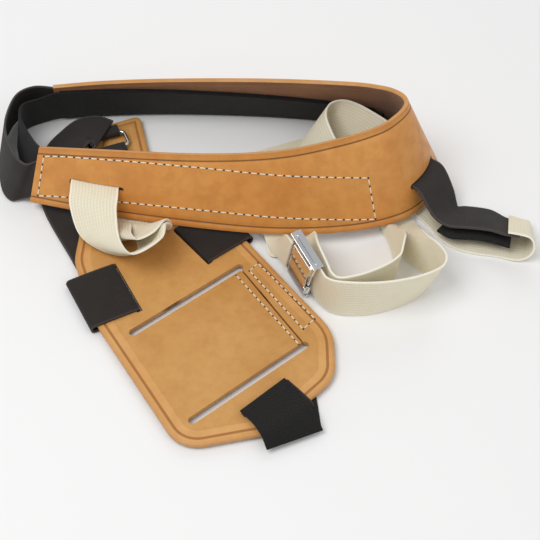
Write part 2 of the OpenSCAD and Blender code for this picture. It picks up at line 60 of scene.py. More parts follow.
def setStage():
    studio = {"place": (0.0107, -0.6331, 0.7170), "tilt": 41, "lens": 80,
              "floor": 8, "floorColour": (0.90, 0.90, 0.90, 1)}
    bpy.ops.object.camera_add(location=studio["place"], rotation=(math.radians(studio["tilt"]), 0, 0))
    camera = bpy.context.object
    camera.data.lens = studio["lens"]
    camera.data.sensor_width = 36
    bpy.context.scene.camera = camera
    bpy.ops.mesh.primitive_plane_add(size=studio["floor"], location=(0, 0, -0.0003))
    floor = bpy.context.object
    floor.name = "studioFloor"
    paper = Shade("studioPaper", studio["floorColour"], 0.9)
    floor.data.materials.append(paper.material)
    world = bpy.data.worlds.new("studioAir")
    world.use_nodes = True
    world.node_tree.nodes["Background"].inputs["Color"].default_value = (1, 1, 1, 1)
    world.node_tree.nodes["Background"].inputs["Strength"].default_value = 0.5
    bpy.context.scene.world = world
    bpy.context.scene.view_settings.view_transform = "Standard"
    # place, size, watts: big key over the left shoulder, fill from the right, low rim light behind
    lamps = (("keyLight", (-0.7, -0.35, 1.5), 1.0, 13), ("fillLight", (1.1, -0.9, 1.0), 1.2, 4.5),
             ("rimLight", (0.2, 1.4, 0.9), 1.0, 4))
    for name, place, size, watts in lamps:
        bpy.ops.object.light_add(type="AREA", location=place)
        light = bpy.context.object
        light.name = name
        light.data.size = size
        light.data.energy = watts
        light.rotation_euler = (Vector((0, 0, 0)) - Vector(place)).to_track_quat("-Z", "Y").to_euler()


# shader helpers: an expression on wires adds the Math nodes

class Wire:
    def __init__(self, shade, socket):
        self.shade, self.socket = shade, socket

    def maths(self, operation, *others, swap=False):
        values = [self, *others]
        if swap:
            values.reverse()
        return self.shade.add("ShaderNodeMath", {"operation": operation}, dict(enumerate(values)))

    def __add__(self, other):
        return self.maths("ADD", other)

    def __sub__(self, other):
        return self.maths("SUBTRACT", other)

    def __rsub__(self, other):
        return self.maths("SUBTRACT", other, swap=True)

    def __mul__(self, other):
        return self.maths("MULTIPLY", other)

    __radd__ = __add__
    __rmul__ = __mul__

    def size(self):
        return self.maths("ABSOLUTE")

    def least(self, other):
        return self.maths("MINIMUM", other)

    def wave(self, pitch):
        return (self * (2 * math.pi / pitch)).maths("SINE") * 0.5 + 0.5

    def step(self, low, high):
        return self.shade.add("ShaderNodeMapRange", {"interpolation_type": "SMOOTHSTEP"},
                              {"Value": self, "From Min": low, "From Max": high, "To Min": 0, "To Max": 1})


class Shade:
    def __init__(self, name, colour=(0.5, 0.5, 0.5, 1), roughness=0.5, metallic=0):
        self.material = bpy.data.materials.new(name)
        self.material.use_nodes = True
        self.tree = self.material.node_tree
        self.skin = self.tree.nodes["Principled BSDF"]
        self.set("Base Color", colour)
        self.set("Roughness", roughness)
        self.set("Metallic", metallic)

    def plug(self, socket, value):
        if isinstance(value, Wire):
            self.tree.links.new(value.socket, socket)
        else:
            socket.default_value = value

    def set(self, socket, value):
        self.plug(self.skin.inputs[socket], value)

    def add(self, kind, settings=None, values=None, output=0):
        node = self.tree.nodes.new(kind)
        for key, value in (settings or {}).items():
            setattr(node, key, value)
        for key, value in (values or {}).items():
            self.plug(node.inputs[key], value)
        return Wire(self, node.outputs[output])

    def place(self):
        return self.add("ShaderNodeTexCoord", output="Object")

    def alongAndAcross(self):
        split = self.add("ShaderNodeSeparateXYZ", values={0: self.add("ShaderNodeTexCoord", output="UV")}).socket.node
        return Wire(self, split.outputs[0]), Wire(self, split.outputs[1])

    def noise(self, scale, detail=3, roughness=0.55, vector=None):
        return self.add("ShaderNodeTexNoise", {}, {"Vector": vector or self.place(), "Scale": scale, "Detail": detail,
                                                   "Roughness": roughness})

    def cells(self, scale):
        return self.add("ShaderNodeTexVoronoi", {"feature": "F1"}, {"Vector": self.place(), "Scale": scale})

    def mix(self, factor, first, second):
        return self.add("ShaderNodeMix", {"data_type": "RGBA"}, {0: factor, 6: first, 7: second}, output=2)

    def bump(self, height, depth, strength=1):
        self.set("Normal", self.add("ShaderNodeBump", {}, {"Height": height, "Distance": depth, "Strength": strength}))


def paint(hexColour):
    parts = [int(hexColour[i:i + 2], 16) / 255 for i in (1, 3, 5)]
    return tuple(p / 12.92 if p <= 0.04045 else ((p + 0.055) / 1.055) ** 2.4 for p in parts) + (1,)


def grainLeather(name, tones, gloss=0.40):
    shade = Shade(name)
    edge = shade.alongAndAcross()[1]
    cloud = shade.noise(16, 4).step(0.32, 0.72)
    mottle = shade.noise(95, 4, 0.6).step(0.3, 0.75)
    colour = shade.mix(cloud * 0.75, paint(tones["light"]), paint(tones["mid"]))
    colour = shade.mix(mottle * 0.30, colour, paint(tones["deep"]))
    # painted shade: a dark band along the pressed crease groove, 5.5 mm in from each edge
    creaseShade = 1 - (edge - 5.5 * mm).size().step(0.5 * mm, 1.6 * mm)
    # darker within 4.2 mm of each edge
    towardsEdge = 1 - edge.step(0, 4.2 * mm)
    colour = shade.mix(towardsEdge * 0.35, colour, paint(tones["deep"]))
    colour = shade.mix(creaseShade * 0.85, colour, paint(tones["creaseShade"]))
    pores = shade.cells(1500)
    colour = shade.mix((1 - pores.step(0, 0.35)) * 0.22, colour, paint(tones["deep"]))
    shade.set("Base Color", colour)
    shade.set("Roughness", mottle * 0.16 + gloss + creaseShade * 0.1)
    shade.bump(pores * 0.5 + shade.noise(900, 5, 0.6) * 0.7, 0.35 * mm, 0.55)
    return shade.material


def fleshLeather(name, tones):
    shade = Shade(name, roughness=0.92)
    fibre = shade.noise(700, 5, 0.7)
    cloud = shade.noise(22, 4).step(0.3, 0.7)
    colour = shade.mix(cloud * 0.8, paint(tones["light"]), paint(tones["mid"]))
    shade.set("Base Color", shade.mix(fibre.step(0.4, 0.75) * 0.5, colour, paint(tones["deep"])))
    shade.skin.inputs["Sheen Weight"].default_value = 0.25
    shade.bump(fibre, 0.5 * mm, 0.8)
    return shade.material


def elastic(name, tones, width, ribPitch, columnPitch, depth=0.22, selvedge=1.8):
    shade = Shade(name, roughness=0.86)
    along, across = shade.alongAndAcross()
    rib = along.wave(ribPitch * mm)
    column = across.wave(columnPitch * mm)
    edge = across.least(width * mm - across)
    # the selvedge band takes the lighter edge tone: partly the selvedge's own weave, partly painted highlight where the
    # strap's edge catches the light
    selvedgeAndHighlight = 1 - edge.step(selvedge * 0.55 * mm, selvedge * mm)
    wear = shade.noise(60, 4).step(0.35, 0.7)
    colour = shade.mix(wear * 0.45, paint(tones["mid"]), paint(tones["light"]))
    # painted shade: darker in the grooves between the ribs and between the columns
    colour = shade.mix((1 - rib) * 0.42, colour, paint(tones["deep"]))
    colour = shade.mix((1 - column) * 0.30, colour, paint(tones["deep"]))
    colour = shade.mix(selvedgeAndHighlight * 0.75, colour, paint(tones["edge"]))
    shade.set("Base Color", colour)
    shade.skin.inputs["Sheen Weight"].default_value = 0.04
    shade.bump(rib * 0.6 + column * 0.35 + shade.noise(2600, 3) * 0.35, depth * mm, 0.8)
    return shade.material


def fuzz(name, tones):
    shade = Shade(name, roughness=0.96)
    loops = shade.cells(1100)
    tuft = shade.noise(420, 5, 0.75)
    colour = shade.mix(tuft.step(0.35, 0.7), paint(tones["deep"]), paint(tones["mid"]))
    shade.set("Base Color", shade.mix(loops.step(0.45, 0.9) * 0.4, colour, paint(tones["light"])))
    shade.skin.inputs["Sheen Weight"].default_value = 0.08
    shade.bump(loops + tuft * 0.8, 0.6 * mm, 0.9)
    return shade.material


def chromeSteel(name):
    shade = Shade(name, (0.80, 0.81, 0.83, 1), 0.1, 1)
    haze = shade.noise(40, 4)
    shade.set("Roughness", haze.step(0.4, 0.8) * 0.12 + 0.06)
    shade.bump(shade.noise(300, 2), 0.02 * mm, 0.15)
    return shade.material


def sewingThread(name, light, deep):
    shade = Shade(name, roughness=0.7)
    ply = shade.noise(1900, 2)
    shade.set("Base Color", shade.mix(ply.step(0.4, 0.65) * 0.5, paint(light), paint(deep)))
    shade.bump(ply, 0.12 * mm, 0.7)
    return shade.material


# the darkest tone of each leather is painted shade for the pressed crease groove
yokeGrain = grainLeather("yokeGrain",
    {"light": "#dc9a4c", "mid": "#cc8237", "deep": "#a8601f", "creaseShade": "#5f3310"}, 0.36)
yokeFlesh = fleshLeather("yokeFlesh", {"light": "#a86f3a", "mid": "#8f592b", "deep": "#6b3f1d"})
yokeEdge = grainLeather("yokeEdge",
    {"light": "#dda765", "mid": "#cf934d", "deep": "#b57a3a", "creaseShade": "#a0672e"}, 0.36)
plateGrain = grainLeather("plateGrain",
    {"light": "#d09b56", "mid": "#c38b46", "deep": "#a96d2e", "creaseShade": "#693d15"}, 0.42)
plateFlesh = fleshLeather("plateFlesh", {"light": "#b98d5c", "mid": "#a67b4c", "deep": "#86602f"})
# each edge tone is lighter: partly selvedge yarn, partly painted edge highlight
greyElastic = elastic("greyElastic",
    {"light": "#3a3331", "mid": "#2b2624", "deep": "#181514", "edge": "#4b4441"}, greyW, 1.0, 2.4)
creamElastic = elastic("creamElastic",
    {"light": "#fbf6e6", "mid": "#f6efd8", "deep": "#cfc4a2", "edge": "#fdf8ea"}, webW, 1.15, 2.7, 0.3)
blackLoop = fuzz("blackLoop", {"light": "#1b1714", "mid": "#0f0d0b", "deep": "#070605"})
polished = chromeSteel("polishedChrome")
creamThread = sewingThread("creamThread", "#efe6d0", "#c9b78e")
# painted shade for the needle holes between stitches
needleHoleShade = sewingThread("needleHoleShade", "#3a210f", "#22120a")
print("materials ready")


# lines and strips

def part(row, start):
    return Vector(row[start:start + 3])


def smoothLine(stations, steps):
    line = []
    for i in range(len(stations) - 1):
        rows = [stations[max(i - 1, 0)], stations[i], stations[i + 1], stations[min(i + 2, len(stations) - 1)]]
        for j in range(steps):
            t = j / steps
            line.append([0.5 * (2 * b + (c - a) * t + (2 * a - 5 * b + 4 * c - d) * t * t
                                + (3 * b - a - 3 * c + d) * t ** 3) for a, b, c, d in zip(*rows)])
    line.append(list(stations[-1]))
    return line


def edges(stations, width):
    return [list(part(s, 0)) + list(part(s, 0) + part(s, 3).normalized() * width) for s in stations]


def middle(row):
    return (part(row, 0) + part(row, 3)) / 2


def across(row):
    return (part(row, 3) - part(row, 0)).normalized()


def faceNormal(rails, i):
    run = middle(rails[min(i + 1, len(rails) - 1)]) - middle(rails[max(i - 1, 0)])
    return run.cross(across(rails[i])).normalized()


def beside(rails, first, last, low, high, off):
    rows = []
    for i in range(first, last + 1):
        n, u, a = faceNormal(rails, i), across(rails[i]), part(rails[i], 0)
        rows.append(list(a + u * low[min(i - first, len(low) - 1)] + n * off)
                    + list(a + u * high[min(i - first, len(high) - 1)] + n * off))
    return rows


def onlyThis(piece):
    bpy.ops.object.select_all(action="DESELECT")
    piece.select_set(True)
    bpy.context.view_layer.objects.active = piece


def applyAll(piece):
    onlyThis(piece)
    for modifier in list(piece.modifiers):
        bpy.ops.object.modifier_apply(modifier=modifier.name)


def shadeSoft(piece, degrees=42):
    onlyThis(piece)
    bpy.ops.object.shade_smooth_by_angle(angle=math.radians(degrees))


def thicken(piece, thick, roundOff):
    solid = piece.modifiers.new("wall", "SOLIDIFY")
    solid.thickness, solid.offset = thick * mm, 0
    solid.material_offset, solid.material_offset_rim = 1, 2
    bevel = piece.modifiers.new("edge", "BEVEL")
    bevel.width, bevel.segments = thick * roundOff * mm, 2
    bevel.limit_method, bevel.angle_limit = "ANGLE", math.radians(50)
    applyAll(piece)


def layStrip(name, rails, thick, columns, materials, nominal=None, edgeSpan=False, dips=None, roundOff=0.35):
    # columns are shares of the width; UV runs in metres: along the strip, and across it or from its nearer edge
    rows, cols = len(rails), len(columns)
    bpy.ops.object.select_all(action="DESELECT")
    bpy.ops.mesh.primitive_grid_add(x_subdivisions=rows - 1, y_subdivisions=cols - 1, size=2)
    piece = bpy.context.object
    piece.name = name
    mesh = piece.data
    run, total = [0], 0
    for i in range(1, rows):
        total += (middle(rails[i]) - middle(rails[i - 1])).length
        run.append(total)
    where = {}
    for v in mesh.vertices:
        i, j = round((v.co.x + 1) / 2 * (rows - 1)), round((v.co.y + 1) / 2 * (cols - 1))
        a, b = part(rails[i], 0), part(rails[i], 3)
        wide = (b - a).length
        share = columns[j](wide) if callable(columns[j]) else columns[j]
        lift = dips[j] if dips else 0
        v.co = (a + (b - a) * share + faceNormal(rails, i) * lift + toMiddle) * mm
        span = min(share, 1 - share) * wide if edgeSpan else share * (nominal or wide)
        where[v.index] = (run[i] * mm, span * mm)
    layer = mesh.uv_layers.active
    for loop in mesh.loops:
        layer.data[loop.index].uv = where[loop.vertex_index]
    for material in materials:
        mesh.materials.append(material)
    thicken(piece, thick, roundOff)
    shadeSoft(piece)
    return piece


def keep(piece, body, nodes):
    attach(piece, body)
    if nodes:
        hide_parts(*nodes)


evenColumns = [0, 0.035, 0.1, 0.25, 0.4, 0.5, 0.6, 0.75, 0.9, 0.965, 1]


def layStrap(name, rails, kind, nodes, body="harness"):
    look = {"grey": (greyElastic, greyT, greyW, "grey_elastic"), "cream": (creamElastic, webT, webW, "cream_elastic"),
            "black": (blackLoop, greyT, greyW, "black_hook_loop")}[kind]
    piece = layStrip(name, rails, look[1], evenColumns, [look[0]] * 3, look[2])
    if body:
        keep(piece, body, nodes)
    return piece


# the yoke: thick leather with a crease along both edges, and two slots

yoke = {"stations": [
    [-197, 67.7, 8.5, -185, 84, 54], [-139, 51.7, plateTop + 4.8, -133, 71, 63],
    [-57, 35.7, plateTop + 5.8, -55, 60, 69],
    [8, 28.7, plateTop + 5.8, 5, 56, 76], [64, 32.7, plateTop + 4.8, 52, 65, 80], [103, 45.7, 8.5, 84, 76, 83],
    [126, 66, 5.5, 99, 86, 86], [140, 92, 3.2, 107, 96, 88], [142, 122, 1.4, 107, 106, 87],
    [130, 149, 0.95, 101, 118, 83], [106, 166, 0.95, 90, 129, 78], [66, 177, 0.95, 66, 143, 70],
    [0, 185, 0.95, 0, 159, 60], [-80, 188, 0.95, -80, 170, 51], [-140, 186, 0.95, -140, 172, 47],
    [-187, 181, 0.95, -186, 170, 44]
],
    "steps": 6, "fineSteps": 14, "creaseIn": 5.5, "creaseDeep": 0.45, "rimRound": 0.24,
    "frontSlot": ((-139, 61, 34), -13, 46), "backSlot": ((125, 81, 27.5), 61, 42), "slotHigh": 5}
yokeRails = smoothLine(yoke["stations"], yoke["steps"])


def cutSlot(piece, place, turn, length, high, deep=24):
    bpy.ops.object.select_all(action="DESELECT")
    bpy.ops.mesh.primitive_cube_add(size=1)
    cutter = bpy.context.object
    bpy.ops.object.mode_set(mode="EDIT")
    bpy.ops.transform.resize(value=(length * mm, deep * mm, high * mm))
    bpy.ops.object.mode_set(mode="OBJECT")
    bevel = cutter.modifiers.new("ends", "BEVEL")
    bevel.width, bevel.segments, bevel.affect = high * 0.46 * mm, 5, "EDGES"
    bevel.limit_method = "WEIGHT"
    weights = cutter.data.attributes.new("bevel_weight_edge", "FLOAT", "EDGE")
    for edge in cutter.data.edges:
        a, b = (cutter.data.vertices[k].co for k in edge.vertices)
        weights.data[edge.index].value = 1 if abs(a.y - b.y) > 0.001 else 0
    applyAll(cutter)
    there = Matrix.Translation((Vector(place) + toMiddle) * mm)
    cutter.data.transform(there @ Matrix.Rotation(math.radians(turn), 4, "Z"))
    cutAway(piece, cutter)


def cutAway(piece, cutter):
    cut = piece.modifiers.new("cut", "BOOLEAN")
    cut.operation, cut.solver, cut.object = "DIFFERENCE", "EXACT", cutter
    applyAll(piece)
    bpy.data.objects.remove(cutter)


def makeYoke():
    inset = yoke["creaseIn"]
    columns, dips = [], []
    nearEdge = ((0, 0), (2, 0), (inset - 1, 0), (inset - 0.35, -0.8), (inset + 0.35, -0.8), (inset + 1, 0), (inset + 5, 0))
    for gap, dip in nearEdge:
        columns.append(lambda wide, gap=gap: gap / wide)
        dips.append(dip * yoke["creaseDeep"])
    for share in (0.25, 0.32, 0.4, 0.5, 0.6, 0.68, 0.75):
        columns.append(share)
        dips.append(0)
    for gap, dip in reversed(nearEdge):
        columns.append(lambda wide, gap=gap: 1 - gap / wide)
        dips.append(dip * yoke["creaseDeep"])
    rails = smoothLine(yoke["stations"], yoke["fineSteps"])
    piece = layStrip("yokeLeather", rails, yokeT, columns, [yokeGrain, yokeFlesh, yokeEdge],
                     edgeSpan=True, dips=dips, roundOff=yoke["rimRound"])
    for place, turn, length in (yoke["frontSlot"], yoke["backSlot"]):
        cutSlot(piece, place, turn, length, yoke["slotHigh"])
    shadeSoft(piece, 50)
    keep(piece, "harness", ["yoke_leather"])


liningOff = yokeT / 2 + layerGap + liningT / 2
sewnFrom, sewnTo = 1, 27
liningShares = [i / (sewnTo - sewnFrom) for i in range(sewnTo - sewnFrom + 1)]
liningLow = [5 + 40 * u * (1 - u) * (1 - 0.25 * u) for u in liningShares]


def makeLinings():
    front = beside(yokeRails, sewnFrom, sewnTo, liningLow, [low + liningW for low in liningLow], -liningOff)
    piece = layStrip("frontArmLining", smoothLine(front, 2), liningT, evenColumns, [blackLoop] * 3, liningW)
    place, turn, length = yoke["frontSlot"]
    cutSlot(piece, place, turn, length, yoke["slotHigh"])
    keep(piece, "harness", ["front_arm_lining"])
    back = beside(yokeRails, 62, 89, [1], [1 + liningW], -liningOff)
    piece = layStrip("backArmLining", smoothLine(back, 2), liningT, evenColumns, [blackLoop] * 3, liningW)
    keep(piece, "harness", ["back_arm_lining"])


# sewing: one stitch is modelled, then copied along a line

def oneStitch(long, wide, high):
    bpy.ops.object.select_all(action="DESELECT")
    bpy.ops.mesh.primitive_uv_sphere_add(segments=8, ring_count=6, radius=0.5)
    stitch = bpy.context.object
    bpy.ops.object.mode_set(mode="EDIT")
    bpy.ops.mesh.select_all(action="SELECT")
    bpy.ops.transform.resize(value=(long * mm, wide * mm, high * mm))
    bpy.ops.object.mode_set(mode="OBJECT")
    return stitch


def sewLine(name, lines, thread, body="harness", pitch=6.7, long=5.4, wide=1.25, high=1.1,
            sink=0.15):
    # each line is a list of (point, normal) in millimetres
    stitch = oneStitch(long, wide, high)
    copies = []
    for line in lines:
        lengths = [0]
        for i in range(1, len(line)):
            lengths.append(lengths[-1] + (line[i][0] - line[i - 1][0]).length)
        count = max(1, round(lengths[-1] / pitch))
        for k in range(count):
            at = lengths[-1] * (k + 0.5) / count
            i = max(j for j in range(len(line) - 1) if lengths[j] <= at)
            t = (at - lengths[i]) / (lengths[i + 1] - lengths[i])
            point = line[i][0].lerp(line[i + 1][0], t) + toMiddle
            up = line[i][1].lerp(line[i + 1][1], t).normalized()
            ahead = (line[i + 1][0] - line[i][0]).normalized()
            side = up.cross(ahead).normalized()
            ahead = side.cross(up)
            turn = Matrix((ahead, side, up)).transposed().to_4x4()
            copy = stitch.copy()
            copy.data = stitch.data.copy()
            copy.data.transform(Matrix.Translation((point + up * sink) * mm) @ turn)
            bpy.context.scene.collection.objects.link(copy)
            copies.append(copy)
    bpy.data.objects.remove(stitch)
    bpy.ops.object.select_all(action="DESELECT")
    for copy in copies:
        copy.select_set(True)
    bpy.context.view_layer.objects.active = copies[0]
    bpy.ops.object.join()
    piece = bpy.context.object
    piece.name = name
    piece.data.materials.append(thread)
    bpy.ops.object.shade_smooth()
    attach(piece, body)
    return piece


def paintHoleShade(name, lines, body="harness", pitch=6.7, wide=1.5, shift=0.5):
    # painted shade: dark marks for the shade inside the needle holes where one stitch meets the next
    moved = []
    for line in lines:
        start, end = line[0], line[-1]
        ahead = (line[1][0] - start[0]).normalized() * pitch * shift
        beyond = (end[0] - line[-2][0]).normalized() * pitch * shift
        moved.append([(start[0] - ahead, start[1])] + line + [(end[0] + beyond, end[1])])
    return sewLine(name, moved, needleHoleShade, body, pitch, 1.9, wide, 0.34, 0.02)


def sewYoke():
    def onYoke(i, height):
        n = faceNormal(yokeRails, i)
        return part(yokeRails[i], 0) + across(yokeRails[i]) * height + n * yokeT / 2, n
    low = [onYoke(i, liningLow[i - sewnFrom] + 2) for i in range(sewnFrom, sewnTo + 1)]
    high = [onYoke(i, liningLow[i - sewnFrom] + liningW - 2) for i in range(sewnFrom, sewnTo + 1)]
    ends = [[low[0], high[0]], [low[-1], high[-1]]]
    sewLine("yokeStitches", [low, high] + ends, creamThread)
    paintHoleShade("yokeHoleShade", [low, high] + ends)


makeYoke()
makeLinings()
sewYoke()
print("yoke sewn")


# closing strap: two layers that join the arms' ends

closing = {
    "outerOff": yokeT / 2 + layerGap + greyT / 2, "innerOff": liningOff + liningT / 2 + layerGap + greyT / 2,
    "innerEnd": 60,
    "outerBend": edges([
    [-205, 188, 0.5, 1, -10, 38], [-223, 177, 0.5, 6, -8, 38], [-231, 152, 0.5, 9, -4, 38],
    [-232, 122, 0.5, 11, 2, 38], [-225, 90, 0.7, 15, 8, 36], [-216, 76, 0.8, 17, 11, 36],
    [-206, 75.5, 3, 16, 12, 36]], greyW),
    "innerBend": edges([
    [-201, 92, 5, 12, 8, 38], [-209, 110, 1.6, 11, 4, 38], [-216, 130, 0.9, 9, 0, 38],
    [-219, 148, 0.9, 7, -4, 38], [-214, 164, 0.9, 4, -9, 38], [-200, 173, 0.9, 1, -12, 38]], greyW)}


def makeClosing():
    last = len(yokeRails) - 1
    back = beside(yokeRails, last - 5, last, [1], [1 + greyW], closing["outerOff"])
    front = beside(yokeRails, 1, 3, [4], [4 + greyW], -closing["innerOff"])
    rails = back[:5] + smoothLine([back[5]] + closing["outerBend"] + [front[0]], 8) + front[1:]
    layStrap("closingStrapOuter", rails, "grey", ["closing_strap_outer"])
    front = beside(yokeRails, 1, 3, [4], [4 + greyW], -closing["innerOff"] - greyT - layerGap)
    back = beside(yokeRails, closing["innerEnd"], last, [2.6], [2.6 + greyW], -closing["innerOff"])
    rails = front[:0:-1] + smoothLine([front[0]] + closing["innerBend"] + [back[-1]], 8) + back[-2::-1]
    layStrap("closingStrapInner", rails, "black", ["closing_strap_inner"])


makeClosing()


# the back strap in the bend's slot, and the cream tab sewn round its end

backLine = edges([
    [111.5, 66.8, 27.5, 18, 33, 0], [115.9, 64.4, 27.5, 18, 33, 0], [121, 58, 27, 20, 29, 0],
    [126, 47, 23, 22, 26, -6], [132, 37, 20, 20, 28, -11], [142, 30, 18.5, 12, 32, -12],
    [158, 28, 18.5, 4, 34, -12], [174, 25, 19, 6, 33, -12.5], [185, 18, 21.5, 7, 32, -15.5],
    [196, 14, 23.5, 6, 32, -17]
], greyW)
returnLine = edges([
    [134, 33, 10, 20, 28, -6], [144, 24.5, 10.8, 12, 32, -7], [160, 23, 10.8, 4, 34, -7],
    [175, 20, 10.8, 6, 33, -7], [190, 14, 10.8, 8, 32, -7]
], greyW)
tabLine = edges([
    [117, 62, 0.9, 27, 29, 0], [124, 53, 0.9, 27, 29, 0], [131, 43, 0.9, 24, 32, 0], [138, 31, 0.9, 18, 35, 0],
    [148, 22, 0.9, 12, 37, 0], [162, 16.5, 0.9, 6, 39, 0], [180, 13, 0.9, 7, 38, 0],
    [195, 8.5, 1.5, 7, 36, 0], [203, 8, 4.5, 5, 35, -3], [207.5, 8.5, 11, 3, 34, -7], [207.5, 9.5, 19, 3, 33, -12],
    [204, 11, 25, 5, 32, -16], [197, 13, 26.6, 6, 32, -17], [187, 17, 25, 7, 32, -15.8]
], webW)
layStrap("backStrap", smoothLine(backLine, 10), "grey", ["back_strap"])
layStrap("backStrapReturn", smoothLine(returnLine, 10), "black", ["back_strap_return"])
endTab = smoothLine(tabLine, 10)
layStrap("webbingEndTab", endTab, "cream", ["webbing_end_tab"])


def sewTab():
    lines = []
    for i in (len(endTab) - 12, len(endTab) - 5):
        n = faceNormal(endTab, i)
        lines.append([(part(endTab[i], 0) + across(endTab[i]) * w + n * webT / 2, n) for w in (3, 37)])
    sewLine("tabStitches", lines, creamThread, pitch=3.6, long=3, wide=0.7, high=0.6)


sewTab()
print("back strap done")


# cream webbing

slotLoop = edges([
    [-158, 82, 34.5, 38, -9, 0], [-160, 70, 34.8, 38, -9, 0], [-160, 56, 33.6, 38, -9, 0.4],
    [-160, 45, 26, 35, -9, 4], [-152, 27, 12.4, 33, -15, 13], [-135, 14, 8.8, 27, -22, 21],
    [-117, 8, 8.6, 19, -21, 28], [-105, 13, 8.6, 21, -13, 29], [-107, 24, 8.4, 25, -8, 27.6],
    [-115, 34, 7.8, 35, -5, 12], [-122, 43, plateTop + 1.5, 39, -6, 0.7], [-125, 54, plateTop + 1.2, 38, -6, 0],
    [-116, 84, plateTop + 1.2, 34, -18, 0], [-96, 106, plateTop + 1.2, 28, -26, 0], [-74, 120, plateTop + 1.3, 22, -32, 0],
    [-44, 128, 3.2, 14, -36, 0], [-18, 133, 1.1, 14, -36, 0], [4, 142, 0.9, 14, -36, 0],
    [28, 151, 0.9, 6, -38, 0], [56, 152, 0.9, -2, -38, 0]
], webW)
slotReturn = edges([
    [-156, 82, 30, 38, -9, 0], [-154, 74, 20, 38, -9, 0], [-153, 64, 10.4, 38, -9, 0.8], [-152, 54, 8.6, 37, -9, 0.6],
    [-149, 43, 9, 35, -9, 6], [-142, 32, 10.6, 31, -15, 14], [-128, 24, 11, 25, -20, 21],
    [-116, 22, 11.2, 24, -14, 24], [-114, 29, 11, 29, -6, 21], [-117, 37, 11, 37, -5, 10],
    [-119, 44, plateTop + 3.7, 38, -6, 0.4], [-120, 56, plateTop + 3.5, 38, -7, 0],
    [-106, 76, plateTop + 3.8, 28, -27, 0],
    [-84, 86, plateTop + 3.7, 12, -37, 0], [-56, 89, plateTop + 3.7, 4, -39, 0], [-30, 90, 9, 0, -39, 0],
    [-6, 89, 5.6, 0, -39, 0],
    [12, 88, 4.9, 0, -39, 0]
], webW)
lowerLoop = edges([
    [27, -15.8, 5.6, 0.12, -0.21, 0.97], [32.4, -25, 3, 0.12, -0.21, 0.97], [35.6, -31, 1.6, 0.1, -0.17, 0.97],
    [41, -38.5, 0.8, 0.04, -0.1, 0.97], [51, -45, 0.4, 0, -0.02, 1],
    [70, -46, 0.2, 1, -1, 39],
    [88, -42, 0.2, 4, -3, 39], [106, -34, 0.4, 7, -5, 38]
], webW) + [
    [119, -23, 0.4, 129.4, -29.3, 38], [124.5, -13, 0.4, 134, -20, 38], [121, -5, 0.5, 132.5, -10, 36.5],
    [112, 6, 0.6, 128, -1, 35], [105.4, 15, 0.8, 123.5, 7.5, 32], [101, 26, 1, 121.5, 22, 22],
    [99, 37, 1, 120, 35, 11], [97.5, 46, 1, 119.5, 46, 4], [94, 58, 1, 116, 57, 1]
]
secondLoop = [
    [-4, 56, 2.9, 30, 77, 2.9], [-4, 34, 2.4, 33, 46, 4], [0, 14, 1.4, 33, 30, 8], [12, 11.5, 1, 35.5, 14.5, 29],
    [28.4, -8.2, 0.4, 36.6, -6, 39], [37, -25, 0.3, 42.5, -25.5, 39.5], [43.5, -35.5, 0.2, 46.4, -37.5, 39.8],
    [52, -41, 0.2, 53, -42, 40], [66, -38, 0.2, 67, -39, 40], [80, -30, 0.2, 82.5, -32, 40],
    [91, -20, 0.2, 93.5, -24, 39.5], [98, -8, 0.4, 99.3, -17, 39], [98.5, 6, 0.6, 101.8, -8, 37.5],
    [97.6, 18.8, 0.9, 103.8, 1, 35.5], [95, 30, 1.2, 105.5, 9, 32], [90, 46, 1.4, 106.5, 22, 22],
    [85, 55, 2.4, 106.5, 32, 12], [78, 66, 3, 105, 41, 5.4], [70, 76, 3, 97, 52, 3.4]
]
upperLoop = edges([
    [117, 70, 3.4, 8, 36, 4], [106, 84, 8, 13, 28, 22], [92, 98, 12, 18, 18, 30],
    [78, 114, 13, 20, 10, 33], [66, 127, 13, 21, 8, 33], [53, 138, 13, 21, 8, 33],
    [41, 143, 13, 21, 8, 33], [30, 138, 13, 21, 8, 33], [26, 125, 13, 21, 7, 33],
    [30, 107, 13, 21, 4, 34], [36, 92, 10, 22, 0, 34], [34, 78, 7, 28, -6, 26], [20, 60, 5, 38, 2, 1]
], webW)
barFold = [
    [12.6, -5.6, 10.3, 17.2, -13.6, 46.4], [8, 3, 9.5, 13, 3, 38], [3, 12, 7.6, 11, 14, 24],
    [-2, 22, 6.8, 11, 22, 13], [-5, 31, 6.6, 12.5, 29, 8.2], [-7, 38, 6.2, 15, 38, 6.4],
    [-8, 46, 6, 20, 47, 6]
]
webbingRuns = (("webbingSlotLoop", slotLoop, "webbing_slot_loop"),
               ("webbingSlotReturn", slotReturn, "webbing_slot_return"),
               ("webbingLowerLoop", lowerLoop, "webbing_lower_loop"),
               ("webbingSecondLoop", secondLoop, "webbing_second_loop"),
               ("webbingUpperLoop", upperLoop, "webbing_upper_loop"),
               ("webbingBarFold", barFold, "webbing_bar_fold"))
for name, line, node in webbingRuns:
    layStrap(name, smoothLine(line, 10), "cream", [node])
print("webbing laid")


# the carrier plate and its belt tongue

plate = {"corners": [
    [-115, 176, 5], [-150, 161, 5], [-150, 110, 40], [-155, 5, 40], [-134, -55, 100], [-63, -170, 25],
    [2, -156, 30], [48, -108, 30], [48, -66, 40], [-22, 31, 60], [-100, 112, 60]
],
    "near": (-55, -146), "far": (-103, -67), "freeFar": (-24, -2), "freeNear": (26, -79),
    "slotW": 6.2, "cutW": 1.2, "creaseIn": 5.5, "creaseDeep": 0.45,
    "left": (-124, 1, 207.5, 52, 40), "upper": (-47, 2, 39, 46, 44), "lower": (-19, -142, -47.9, 43, 27),
    "keeperSlot": 4.5, "slotRoom": 2, "turnSense": 1, "bendCuts": 11, "bendStep": 2.2, "bendStart": 1, "bendEnd": 22,
    "tongueEase": 0.5}


